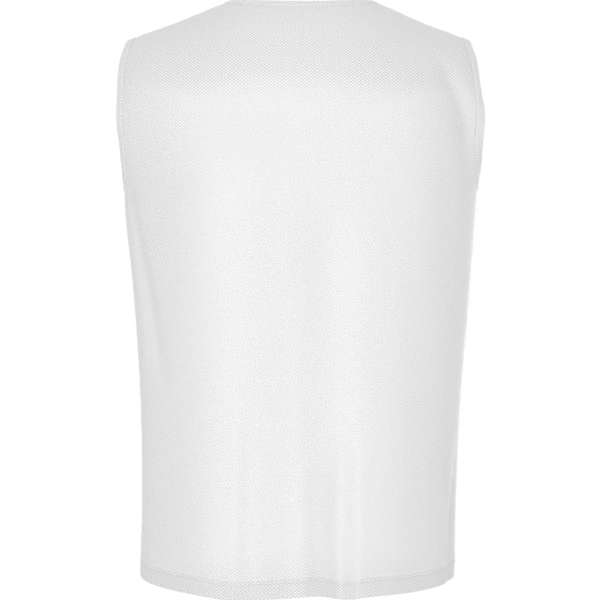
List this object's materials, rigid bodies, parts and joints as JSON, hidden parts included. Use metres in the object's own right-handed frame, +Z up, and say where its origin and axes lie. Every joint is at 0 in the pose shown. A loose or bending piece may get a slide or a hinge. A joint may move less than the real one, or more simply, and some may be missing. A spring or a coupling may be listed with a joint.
{
  "type": "training bib",
  "caption": "Sleeveless training bib in white open mesh, worn shape with no wearer: wide shallow neck, deep armholes, straight body, narrow folded bindings and a turned-up hem.",
  "frame": {"origin": "middle of the neck opening, level with the top of the shoulders", "axes": "+Z up along the wearer, +X to the wearer's left, -Y the way the wearer faces"},
  "size_m": [0.4237, 0.2748, 0.6783],
  "materials": {
    "mesh_cloth": "white open-mesh polyester knit, soft and slightly glossy",
    "binding_cloth": "white knit folded double, with flat stitching"
  },
  "bodies": {
    "root": {"back_panel": "mesh_cloth", "front_panel": "mesh_cloth", "neck_binding": "binding_cloth", "armhole_binding_left": "binding_cloth", "armhole_binding_right": "binding_cloth"}
  },
  "joints": []
}
